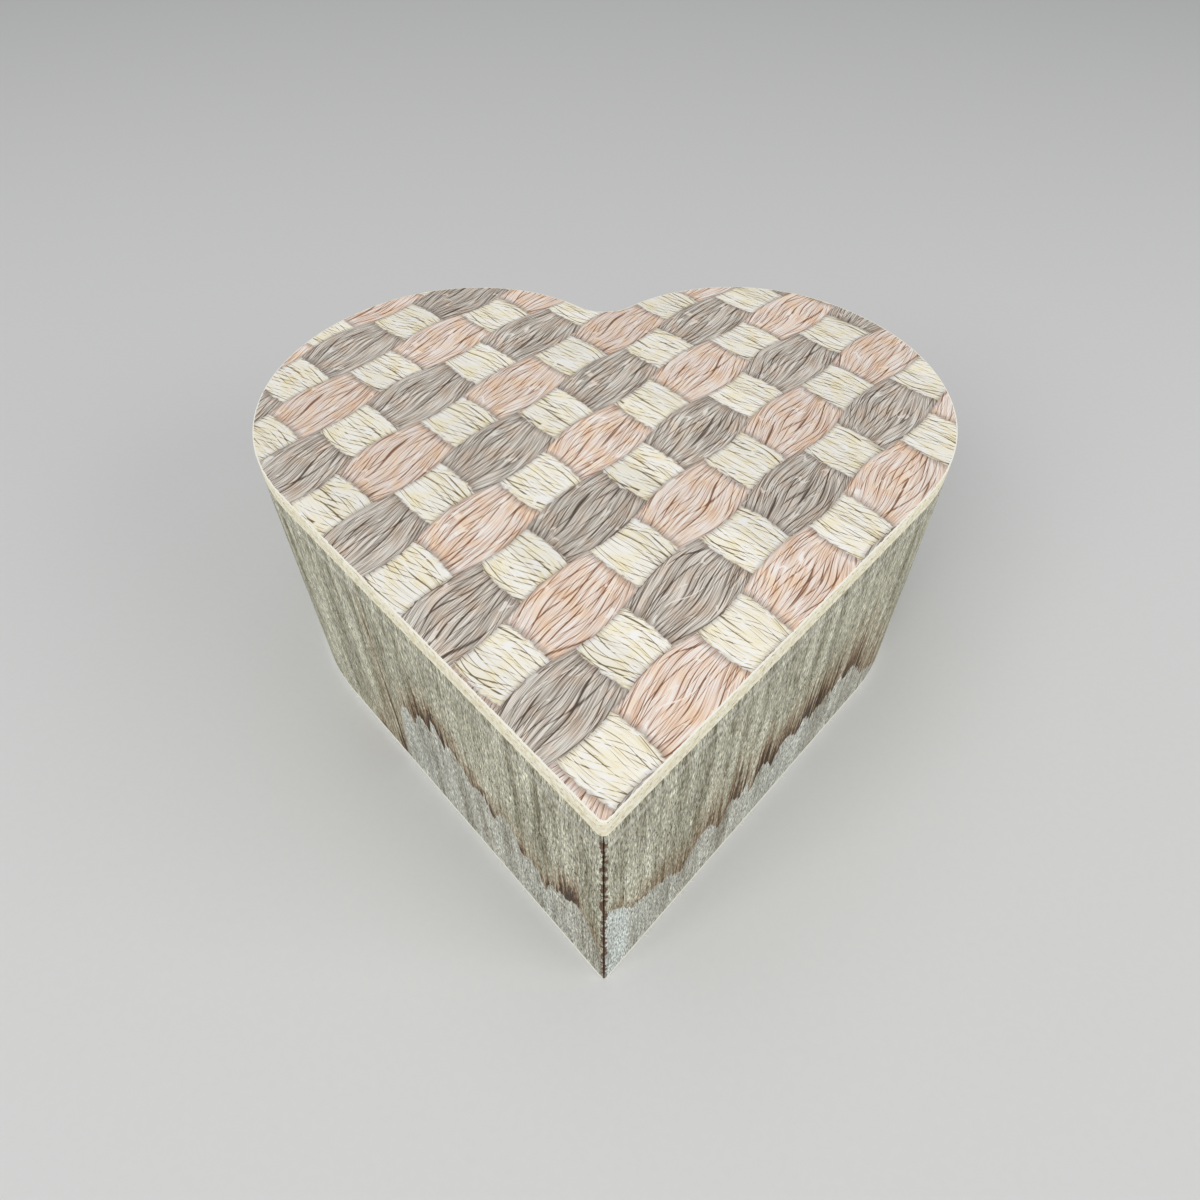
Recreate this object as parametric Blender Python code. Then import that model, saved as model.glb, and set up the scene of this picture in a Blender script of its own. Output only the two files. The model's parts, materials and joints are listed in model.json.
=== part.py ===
"""Heart-shaped trinket box with a hinged lid.

The walls are two bent plywood strips, mitred together at the tip and butted at the
cleft.  The closed shell was sawn through level, so its upper band belongs to the lid
and its lower band to the box.  A flat board covers the top and carries a printed
paper sheet, a second board is let in flush between the walls as the base, a small
block fills the tip corner of each half and holds a disc magnet, and two brass hinges
join the halves behind the lobes.

Lengths are in metres.  The outline is drawn with the sharp tip corner at (0, 0) and
the cleft towards +Y; two empties, one for the box and one on the hinge axis for the
lid, place everything so that the model stands on z = 0, centred on the origin.
"""

import math

import bmesh
import bpy

MM = 0.001

# Outline of the heart, at the outside of the walls.
HEART_WIDTH = 107.0 * MM        # across the two lobes
TIP_ANGLE = math.radians(84.4)  # between the two straight sides
SIDE_RADIUS = 35.7 * MM         # outer side of each lobe
SHOULDER_TURN = math.radians(51.4)  # how far the side radius runs past the widest point
LOBE_RADIUS = 27.6 * MM         # back of each lobe
CLEFT_RADIUS = 6.5 * MM         # hollow round between the lobes
TIP_ROUND = 1.0 * MM            # eased corner at the tip

# Heights and thicknesses.
BOX_HEIGHT = 45.5 * MM          # table to printed top
LID_HEIGHT = 18.6 * MM          # saw cut to printed top
WALL = 4.0 * MM                 # bent plywood strip
LID_BOARD = 2.8 * MM
BASE_BOARD = 3.0 * MM
PRINT_SHEET = 0.25 * MM
TRIM_BAND = 1.8 * MM            # strip of wall skimmed when the lid board was trimmed flush
TRIM_DEPTH = 0.15 * MM          # how deep that skim went, ending in a ledge at 45 degrees

# Tip corner blocks and their magnets.
BLOCK_DEPTH = 8.0 * MM          # apex to the back of the block
MAGNET_DIAMETER = 4.0 * MM
MAGNET_LENGTH = 2.0 * MM

# Hinges.
HINGE_WIDTH = 12.0 * MM         # along the barrel
LEAF_REACH = 6.0 * MM           # barrel axis to the free edge of a leaf
LEAF = 0.7 * MM                 # brass sheet
LEAF_CORNER = 1.2 * MM          # rounded free corners
PIN_DIAMETER = 1.2 * MM
SIDE_KNUCKLE = 3.2 * MM         # each of the two outer knuckles, on the box leaf
GAIN_SKIM = 0.15 * MM           # flat for the leaf goes this much past the lobe's curve
BRAD_DIAMETER = 0.9 * MM
BRAD_HEAD_DIAMETER = 1.8 * MM
BRAD_HEAD_HEIGHT = 0.35 * MM
BRAD_SPACING = 7.0 * MM
BRAD_SKIN = 0.6 * MM            # wood left between a brad hole and the inside of the wall

# Clearances.
TOUCH_GAP = 0.3 * MM            # between pieces that are glued or rest on each other
PIN_CLEARANCE = 0.1 * MM        # pin to bore, on the radius
BRAD_CLEARANCE = 0.15 * MM      # brad to its holes, on the radius
LEAF_CLEARANCE = 0.3 * MM       # leaf edge to its recess, and to the other leaf's knuckle
MAGNET_CLEARANCE = 0.2 * MM     # magnet to its pocket, on the radius and below

# How finely round shapes are faceted.
ARC_STEP = math.radians(4.0)
CORNER_STEP = math.radians(15.0)
MAGNET_SIDES = 24
KNUCKLE_SIDES = 20
BRAD_SIDES = 10

# Half of the tip angle, and the levels of the stack.
HALF_TIP = TIP_ANGLE / 2
SEAM = BOX_HEIGHT - LID_HEIGHT
BOX_RIM = SEAM - TOUCH_GAP / 2
LID_RIM = SEAM + TOUCH_GAP / 2
PRINT_BOTTOM = BOX_HEIGHT - PRINT_SHEET
LID_BOARD_TOP = PRINT_BOTTOM - TOUCH_GAP
LID_BOARD_BOTTOM = LID_BOARD_TOP - LID_BOARD
LID_WALL_TOP = LID_BOARD_BOTTOM - TOUCH_GAP
TRIM_LEVEL = LID_WALL_TOP - TRIM_BAND

# Centres of the outline's arcs, for the half on the +X side.
SIDE_CENTRE_X = HEART_WIDTH / 2 - SIDE_RADIUS
STRAIGHT_SIDE = (SIDE_CENTRE_X + SIDE_RADIUS * math.cos(HALF_TIP)) / math.sin(HALF_TIP)
SIDE_CENTRE_Y = STRAIGHT_SIDE * math.cos(HALF_TIP) + SIDE_RADIUS * math.sin(HALF_TIP)
LOBE_CENTRE_X = SIDE_CENTRE_X + (SIDE_RADIUS - LOBE_RADIUS) * math.cos(SHOULDER_TURN)
LOBE_CENTRE_Y = SIDE_CENTRE_Y + (SIDE_RADIUS - LOBE_RADIUS) * math.sin(SHOULDER_TURN)
CLEFT_TURN = math.asin(LOBE_CENTRE_X / (LOBE_RADIUS + CLEFT_RADIUS))
CLEFT_CENTRE_Y = LOBE_CENTRE_Y + (LOBE_RADIUS + CLEFT_RADIUS) * math.cos(CLEFT_TURN)
LOBE_BACK_Y = LOBE_CENTRE_Y + LOBE_RADIUS

# Hinge leaves lie on a flat cut into the back of each lobe; the barrel stands outside it.
GAIN_HALF_WIDTH = HINGE_WIDTH / 2 + LEAF_CLEARANCE
GAIN_REACH = LEAF_REACH + LEAF_CLEARANCE
GAIN_DEPTH = LOBE_RADIUS - math.sqrt(LOBE_RADIUS ** 2 - GAIN_HALF_WIDTH ** 2) + GAIN_SKIM
GAIN_Y = LOBE_BACK_Y - GAIN_DEPTH
BORE_RADIUS = PIN_DIAMETER / 2 + PIN_CLEARANCE
BARREL_RADIUS = BORE_RADIUS + LEAF
LEAF_BACK_Y = GAIN_Y + TOUCH_GAP
LEAF_FRONT_Y = LEAF_BACK_Y + LEAF
AXIS_Y = LEAF_BACK_Y + BARREL_RADIUS
BRAD_BOTTOM_Y = LOBE_BACK_Y - WALL + BRAD_SKIN
BRAD_RISE = (LEAF_REACH + BARREL_RADIUS) / 2   # brad row, measured from the barrel axis

# The model is centred between the eased tip and the back of the hinge barrels.
FRONT_Y = TIP_ROUND / math.sin(HALF_TIP) - TIP_ROUND
BACK_Y = AXIS_Y + BARREL_RADIUS
FRAME_Y = -(FRONT_Y + BACK_Y) / 2


# ---------------------------------------------------------------- outlines

def arc(centre, radius, start, end, step=ARC_STEP):
    """Points on an arc; angles turn anticlockwise from +X, and both ends are included."""
    count = max(1, math.ceil(abs(end - start) / step))
    angles = [start + (end - start) * i / count for i in range(count + 1)]
    return [(centre[0] + radius * math.cos(a), centre[1] + radius * math.sin(a)) for a in angles]


def tip_points(inset, gap):
    """Tip end of a half outline: an eased corner while the inset is small, then a sharp one."""
    round_radius = TIP_ROUND - inset
    if round_radius <= gap:
        return [(gap, inset / math.sin(HALF_TIP) + gap / math.tan(HALF_TIP))]
    centre = (0.0, TIP_ROUND / math.sin(HALF_TIP))
    start = -math.pi / 2 + math.asin(gap / round_radius)
    return arc(centre, round_radius, start, -HALF_TIP, CORNER_STEP)


def half_outline(inset, gap=0.0):
    """Outline of the +X half, from the tip to the cleft.

    inset moves it inwards from the outside of the walls, and gap is where it stops
    short of the middle plane.
    """
    points = tip_points(inset, gap)
    shoulder = SHOULDER_TURN
    points += arc((SIDE_CENTRE_X, SIDE_CENTRE_Y), SIDE_RADIUS - inset, -HALF_TIP, shoulder)
    lobe_end = math.pi / 2 + CLEFT_TURN
    points += arc((LOBE_CENTRE_X, LOBE_CENTRE_Y), LOBE_RADIUS - inset, shoulder, lobe_end)[1:]
    cleft_radius = CLEFT_RADIUS + inset
    cleft_end = -math.pi / 2 + math.asin(gap / cleft_radius)
    points += arc((0.0, CLEFT_CENTRE_Y), cleft_radius, CLEFT_TURN - math.pi / 2, cleft_end)[1:]
    return points


def heart_outline(inset):
    """The whole heart, anticlockwise from the tip."""
    right = half_outline(inset)
    left = [(-x, y) for x, y in reversed(right)]
    return right + [p for p in left if abs(p[0]) > 1e-9]


def wall_outline(side, inset=0.0):
    """Plan of one wall strip: outside face from tip to cleft, then back along the inside."""
    gap = TOUCH_GAP / 2
    outer = half_outline(inset, gap)
    inner = half_outline(WALL, gap)
    return [(side * x, y) for x, y in outer + inner[::-1]]


def block_outline():
    """Plan of the tip corner block: a triangle that lies against both walls."""
    apex = (WALL + TOUCH_GAP) / math.sin(HALF_TIP)
    spread = BLOCK_DEPTH * math.tan(HALF_TIP)
    return [(0.0, apex), (spread, apex + BLOCK_DEPTH), (-spread, apex + BLOCK_DEPTH)]


def magnet_centre_y():
    """Where a circle touches all three sides of the corner block."""
    apex = (WALL + TOUCH_GAP) / math.sin(HALF_TIP)
    return apex + BLOCK_DEPTH / (1 + math.sin(HALF_TIP))


# ---------------------------------------------------------------- materials

def material(name, colour, roughness, metallic=0.0):
    """A Principled material with a linear base colour."""
    mat = bpy.data.materials.new(name)
    mat.use_nodes = True
    shader = mat.node_tree.nodes["Principled BSDF"]
    shader.inputs["Base Color"].default_value = (*colour, 1.0)
    shader.inputs["Roughness"].default_value = roughness
    shader.inputs["Metallic"].default_value = metallic
    mat.diffuse_color = (*colour, 1.0)
    return mat


# ---------------------------------------------------------------- mesh tools

def finish(name, bm, parent, mat=None):
    """Turn a bmesh into a smooth-shaded object whose creases stay sharp."""
    bmesh.ops.recalc_face_normals(bm, faces=bm.faces)
    mesh = bpy.data.meshes.new(name)
    bm.to_mesh(mesh)
    bm.free()
    mesh.shade_smooth()
    mesh.set_sharp_from_angle(angle=math.radians(30))
    obj = bpy.data.objects.new(name, mesh)
    bpy.context.scene.collection.objects.link(obj)
    obj.parent = parent
    if mat:
        mesh.materials.append(mat)
    return obj


def skin_rings(bm, rings):
    """Close a stack of equal-length point rings with side faces and two caps."""
    loops = [[bm.verts.new(p) for p in ring] for ring in rings]
    count = len(loops[0])
    for low, high in zip(loops, loops[1:]):
        for i in range(count):
            j = (i + 1) % count
            bm.faces.new((low[i], low[j], high[j], high[i]))
    bm.faces.new(loops[0][::-1])
    bm.faces.new(loops[-1])


def prism(name, outline, bottom, top, parent, mat=None):
    """Upright solid with one plan outline."""
    bm = bmesh.new()
    skin_rings(bm, [[(x, y, z) for x, y in outline] for z in (bottom, top)])
    return finish(name, bm, parent, mat)


def add_disc_stack(bm, profile, sides, axis, start):
    """Turned solid: profile is (distance along the axis, radius) pairs from end to end."""
    rings = []
    for along, radius in profile:
        ring = []
        for i in range(sides):
            angle = 2 * math.pi * (i + 0.5) / sides
            across, up = radius * math.cos(angle), radius * math.sin(angle)
            offset = {"X": (along, across, up), "Y": (up, along, across), "Z": (across, up, along)}[axis]
            ring.append(tuple(s + o for s, o in zip(start, offset)))
        rings.append(ring)
    skin_rings(bm, rings)


def cutter(name, bm, parent):
    """Guide object that a Boolean cuts with; it isn't part of the box."""
    obj = finish(name, bm, parent)
    obj.hide_render = True
    obj.display_type = "WIRE"
    return obj


def boolean(obj, other, operation):
    """Add an exact Boolean modifier."""
    mod = obj.modifiers.new(other.name, "BOOLEAN")
    mod.operation = operation
    mod.solver = "EXACT"
    mod.object = other


def empty(name, location):
    """Bare placing point."""
    obj = bpy.data.objects.new(name, None)
    obj.location = location
    bpy.context.scene.collection.objects.link(obj)
    return obj


# ---------------------------------------------------------------- wooden pieces

def lid_height(z):
    """Height above the hinge axis, for pieces that are parented to the lid."""
    return z - SEAM


def shift_y(outline):
    """Plan outline as seen from the hinge axis, for pieces that are parented to the lid."""
    return [(x, y - AXIS_Y) for x, y in outline]


def hinge_x(side):
    """Middle of a hinge: behind the lobe, where the wall runs level with the axis."""
    return side * LOBE_CENTRE_X


def brad_places(side):
    """The two brads of one leaf, across the hinge."""
    return [hinge_x(side) + offset * BRAD_SPACING / 2 for offset in (-1, 1)]


def cut_hinge_seat(wall, side, direction, origin_y, origin_z):
    """Cut the flat for a leaf, and the two brad holes behind it, into one wall.

    direction is +1 for the lid, whose leaf reaches up, and -1 for the box.
    """
    overrun = BARREL_RADIUS
    bm = bmesh.new()
    low_x, high_x = hinge_x(side) - GAIN_HALF_WIDTH, hinge_x(side) + GAIN_HALF_WIDTH
    low_y, high_y = GAIN_Y - origin_y, LOBE_BACK_Y + overrun - origin_y
    levels = sorted((SEAM - direction * overrun - origin_z, SEAM + direction * GAIN_REACH - origin_z))
    plan = [(low_x, low_y), (high_x, low_y), (high_x, high_y), (low_x, high_y)]
    skin_rings(bm, [[(x, y, z) for x, y in plan] for z in levels])
    boolean(wall, cutter(f"{wall.name}.flat", bm, wall.parent), "DIFFERENCE")
    for number, x in enumerate(brad_places(side)):
        bm = bmesh.new()
        start = (x, 0.0, SEAM + direction * BRAD_RISE - origin_z)
        radius = BRAD_DIAMETER / 2 + BRAD_CLEARANCE
        bottom = BRAD_BOTTOM_Y - BRAD_CLEARANCE - origin_y
        add_disc_stack(bm, [(bottom, radius), (high_y, radius)], BRAD_SIDES, "Y", start)
        boolean(wall, cutter(f"{wall.name}.hole{number}", bm, wall.parent), "DIFFERENCE")


def build_box_wall(name, side, box, mat):
    """Lower band of one bent strip."""
    wall = prism(name, wall_outline(side), 0.0, BOX_RIM, box, mat)
    cut_hinge_seat(wall, side, -1, 0.0, 0.0)


def build_lid_wall(name, side, lid, mat):
    """Upper band of one bent strip, skimmed along its top where the lid board was trimmed."""
    full = shift_y(wall_outline(side))
    skimmed = shift_y(wall_outline(side, TRIM_DEPTH))
    bm = bmesh.new()
    ledge_top = TRIM_LEVEL + TRIM_DEPTH
    stack = ((full, LID_RIM), (full, TRIM_LEVEL), (skimmed, ledge_top), (skimmed, LID_WALL_TOP))
    skin_rings(bm, [[(x, y, lid_height(z)) for x, y in outline] for outline, z in stack])
    wall = finish(name, bm, lid, mat)
    cut_hinge_seat(wall, side, 1, AXIS_Y, SEAM)


def build_tip_block(name, bottom, top, mouth, parent, origin, mat):
    """Triangular block in the tip corner, with a magnet pocket in its face at the saw cut."""
    origin_y, origin_z = origin
    outline = [(x, y - origin_y) for x, y in block_outline()]
    block = prism(name, outline, bottom - origin_z, top - origin_z, parent, mat)
    depth = MAGNET_LENGTH + MAGNET_CLEARANCE
    past = mouth * MAGNET_LENGTH
    face = top if mouth > 0 else bottom
    levels = sorted((face - mouth * depth - origin_z, face + past - origin_z))
    radius = MAGNET_DIAMETER / 2 + MAGNET_CLEARANCE
    bm = bmesh.new()
    start = (0.0, magnet_centre_y() - origin_y, 0.0)
    add_disc_stack(bm, [(z, radius) for z in levels], MAGNET_SIDES, "Z", start)
    boolean(block, cutter(f"{name}.pocket", bm, parent), "DIFFERENCE")


def build_magnet(name, face, mouth, parent, origin, mat):
    """Disc magnet with a chamfered rim, level with the face of its block."""
    origin_y, origin_z = origin
    chamfer = MAGNET_LENGTH / 10
    radius = MAGNET_DIAMETER / 2
    low, high = sorted((face - origin_z, face - mouth * MAGNET_LENGTH - origin_z))
    profile = [(low, radius - chamfer), (low + chamfer, radius),
               (high - chamfer, radius), (high, radius - chamfer)]
    bm = bmesh.new()
    add_disc_stack(bm, profile, MAGNET_SIDES, "Z", (0.0, magnet_centre_y() - origin_y, 0.0))
    finish(name, bm, parent, mat)


# ---------------------------------------------------------------- hinges

def leaf_plate_outline(direction):
    """Front view of a leaf's plate, centred on the hinge; its free corners are rounded."""
    half = HINGE_WIDTH / 2
    near = BARREL_RADIUS + LEAF_CLEARANCE
    far = LEAF_REACH - LEAF_CORNER
    right = arc((half - LEAF_CORNER, far), LEAF_CORNER, 0.0, math.pi / 2, CORNER_STEP)
    left = [(-x, z) for x, z in reversed(right)]
    outline = [(half, near)] + right + left + [(-half, near)]
    return [(x, direction * z) for x, z in outline]


def knuckle_profile(direction):
    """Side view of a rolled knuckle with the neck that joins it to the plate.

    The sheet runs down its back face, curls round the pin and meets its own front face.
    y is measured from the barrel axis.
    """
    neck_top = BARREL_RADIUS + LEAF_CLEARANCE + LEAF
    front = -BARREL_RADIUS + LEAF
    meet = math.pi - math.acos(-front / BARREL_RADIUS)
    curl = arc((0.0, 0.0), BARREL_RADIUS, math.pi, 2 * math.pi + meet, 2 * math.pi / KNUCKLE_SIDES)
    profile = [(-BARREL_RADIUS, neck_top)] + curl + [(front, neck_top)]
    return [(y, direction * z) for y, z in profile]


def knuckle_spans(direction):
    """Where a leaf's knuckles lie along the barrel: two outer ones on the box, one on the lid."""
    half = HINGE_WIDTH / 2
    if direction < 0:
        return [(-half, -half + SIDE_KNUCKLE), (half - SIDE_KNUCKLE, half)]
    middle = half - SIDE_KNUCKLE - LEAF_CLEARANCE
    return [(-middle, middle)]


def build_leaf(name, side, direction, parent, origin, mat):
    """One leaf: a plate against the wall, with its knuckles rolled round the pin."""
    origin_y, origin_z = origin
    centre, axis_y, axis_z = hinge_x(side), AXIS_Y - origin_y, SEAM - origin_z
    back, front = LEAF_BACK_Y - origin_y, LEAF_FRONT_Y - origin_y
    bm = bmesh.new()
    plate = leaf_plate_outline(direction)
    skin_rings(bm, [[(centre + x, y, axis_z + z) for x, z in plate] for y in (back, front)])
    leaf = finish(name, bm, parent, mat)
    for number, (low, high) in enumerate(knuckle_spans(direction)):
        bm = bmesh.new()
        profile = knuckle_profile(direction)
        skin_rings(bm, [[(centre + x, axis_y + y, axis_z + z) for y, z in profile] for x in (low, high)])
        boolean(leaf, cutter(f"{name}.knuckle{number}", bm, parent), "UNION")
    bm = bmesh.new()
    reach = HINGE_WIDTH
    span = [(-reach, BORE_RADIUS), (reach, BORE_RADIUS)]
    add_disc_stack(bm, span, KNUCKLE_SIDES, "X", (centre, axis_y, axis_z))
    boolean(leaf, cutter(f"{name}.bore", bm, parent), "DIFFERENCE")
    for number, x in enumerate(brad_places(side)):
        bm = bmesh.new()
        radius = BRAD_DIAMETER / 2 + BRAD_CLEARANCE
        span = [(back - LEAF, radius), (front + LEAF, radius)]
        add_disc_stack(bm, span, BRAD_SIDES, "Y", (x, 0.0, axis_z + direction * BRAD_RISE))
        boolean(leaf, cutter(f"{name}.hole{number}", bm, parent), "DIFFERENCE")


def build_pin(name, side, parent, mat):
    """Hinge pin, as long as the barrel, with chamfered ends."""
    half, radius = HINGE_WIDTH / 2, PIN_DIAMETER / 2
    chamfer = radius / 3
    profile = [(-half, radius - chamfer), (-half + chamfer, radius),
               (half - chamfer, radius), (half, radius - chamfer)]
    bm = bmesh.new()
    add_disc_stack(bm, profile, KNUCKLE_SIDES, "X", (hinge_x(side), AXIS_Y, SEAM))
    finish(name, bm, parent, mat)


def build_brads(name, side, direction, parent, origin, mat):
    """The two domed brads that hold one leaf, numbered from the -X one."""
    origin_y, origin_z = origin
    under_head = LEAF_FRONT_Y + TOUCH_GAP / 2 - origin_y
    bottom = BRAD_BOTTOM_Y - origin_y
    shank, head = BRAD_DIAMETER / 2, BRAD_HEAD_DIAMETER / 2
    point = shank / 2
    profile = [(bottom, point), (bottom + 2 * point, shank), (under_head, shank), (under_head, head),
               (under_head + BRAD_HEAD_HEIGHT / 2, head * 0.85), (under_head + BRAD_HEAD_HEIGHT, head * 0.35)]
    for number, x in enumerate(brad_places(side), start=1):
        bm = bmesh.new()
        start = (x, 0.0, SEAM + direction * BRAD_RISE - origin_z)
        add_disc_stack(bm, profile, BRAD_SIDES, "Y", start)
        finish(f"{name}_{number}", bm, parent, mat)


# ---------------------------------------------------------------- assembly

def build_box(box, wood, board, brass, steel):
    """Everything that stays on the table."""
    origin = (0.0, 0.0)
    build_box_wall("box_wall_left", -1, box, wood)
    build_box_wall("box_wall_right", 1, box, wood)
    prism("base_board", heart_outline(WALL + TOUCH_GAP), 0.0, BASE_BOARD, box, board)
    build_tip_block("box_tip_block", BASE_BOARD + TOUCH_GAP, BOX_RIM, 1, box, origin, wood)
    build_magnet("box_magnet", BOX_RIM, 1, box, origin, steel)
    for word, side in (("left", -1), ("right", 1)):
        build_leaf(f"hinge_{word}_box_leaf", side, -1, box, origin, brass)
        build_brads(f"hinge_{word}_box_brad", side, -1, box, origin, brass)
        build_pin(f"hinge_{word}_pin", side, box, brass)


def build_lid(lid, wood, board, paper, brass, steel):
    """Everything that swings up on the hinge axis."""
    origin = (AXIS_Y, SEAM)
    build_lid_wall("lid_wall_left", -1, lid, wood)
    build_lid_wall("lid_wall_right", 1, lid, wood)
    plan = shift_y(heart_outline(TRIM_DEPTH))
    prism("lid_board", plan, lid_height(LID_BOARD_BOTTOM), lid_height(LID_BOARD_TOP), lid, board)
    prism("lid_print_sheet", plan, lid_height(PRINT_BOTTOM), lid_height(BOX_HEIGHT), lid, paper)
    build_tip_block("lid_tip_block", LID_RIM, LID_WALL_TOP, -1, lid, origin, wood)
    build_magnet("lid_magnet", LID_RIM, -1, lid, origin, steel)
    for word, side in (("left", -1), ("right", 1)):
        build_leaf(f"hinge_{word}_lid_leaf", side, 1, lid, origin, brass)
        build_brads(f"hinge_{word}_lid_brad", side, 1, lid, origin, brass)


def main():
    for obj in list(bpy.data.objects):
        bpy.data.objects.remove(obj, do_unlink=True)
    wood = material("bent_plywood", (0.40, 0.37, 0.29), 0.85)
    board = material("bare_board", (0.68, 0.62, 0.46), 0.8)
    paper = material("printed_paper", (0.60, 0.53, 0.46), 0.6)
    brass = material("brass", (0.75, 0.53, 0.22), 0.35, 1.0)
    steel = material("nickel_plated_magnet", (0.70, 0.69, 0.67), 0.25, 1.0)
    box = empty("box_frame", (0.0, FRAME_Y, 0.0))
    lid = empty("lid_pivot", (0.0, FRAME_Y + AXIS_Y, SEAM))
    build_box(box, wood, board, brass, steel)
    build_lid(lid, wood, board, paper, brass, steel)


main()
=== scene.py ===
"""Looks of a heart-shaped trinket box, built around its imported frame.

The box is bent plywood, glued up as one and sawn into a box and a lid, with a printed sheet on the lid.
"""
import json
import logging
import math
import random
from collections.abc import Iterator
from dataclasses import dataclass
from enum import Enum
from functools import cached_property

import bpy
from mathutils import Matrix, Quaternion, Vector, noise


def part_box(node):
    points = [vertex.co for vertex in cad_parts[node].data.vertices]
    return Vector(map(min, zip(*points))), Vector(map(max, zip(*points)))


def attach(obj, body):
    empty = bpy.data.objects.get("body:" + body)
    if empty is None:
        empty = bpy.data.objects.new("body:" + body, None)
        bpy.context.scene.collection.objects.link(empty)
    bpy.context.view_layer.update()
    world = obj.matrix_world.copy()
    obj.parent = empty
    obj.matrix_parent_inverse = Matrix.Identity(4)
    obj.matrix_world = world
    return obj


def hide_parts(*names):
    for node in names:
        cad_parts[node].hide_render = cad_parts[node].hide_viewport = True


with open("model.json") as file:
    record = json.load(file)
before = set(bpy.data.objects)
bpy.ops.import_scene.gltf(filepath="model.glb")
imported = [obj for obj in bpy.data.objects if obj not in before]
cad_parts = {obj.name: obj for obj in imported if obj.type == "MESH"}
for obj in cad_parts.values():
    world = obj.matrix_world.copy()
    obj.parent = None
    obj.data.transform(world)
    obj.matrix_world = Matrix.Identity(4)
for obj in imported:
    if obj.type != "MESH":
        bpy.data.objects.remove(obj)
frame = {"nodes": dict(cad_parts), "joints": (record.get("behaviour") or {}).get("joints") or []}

LOG = logging.getLogger("trinket_box")
MM = 0.001
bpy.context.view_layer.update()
FACE_WEIGHT = 90  # how flatly the eased arrises let the faces shade

Knot = tuple[float, float]
Triple = tuple[float, float, float]
Colour = tuple[float, float, float, float]
Material = bpy.types.Material
Socket = bpy.types.NodeSocket
Sockets = tuple[Socket, ...]

FAR = 9.0  # mm from an edge, where it no longer shows
NO_EDGES: Triple = (FAR, FAR, 0.0)
NO_TIDE: Triple = (30.0, 1.0, 0.0)


def heading(turn: float) -> Vector:
    """Direction at an angle from X, seen from above."""
    return Vector((math.cos(turn), math.sin(turn)))


class Side(Enum):
    """Which half of the heart, seen from the tip; the value is the sign of X."""

    LEFT = -1
    RIGHT = 1


class Layer(Enum):
    """Which half of the sawn box a wall belongs to, by the name of its body."""

    BOX = "box"
    LID = "lid"


# ----------------------------------------------------------------------
# The outline


@dataclass(frozen=True)
class Station:
    """A place on an outline: where it is, which way is outward and how far it is from the tip, in mm."""

    x: float
    y: float
    out_x: float
    out_y: float
    run: float


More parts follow.
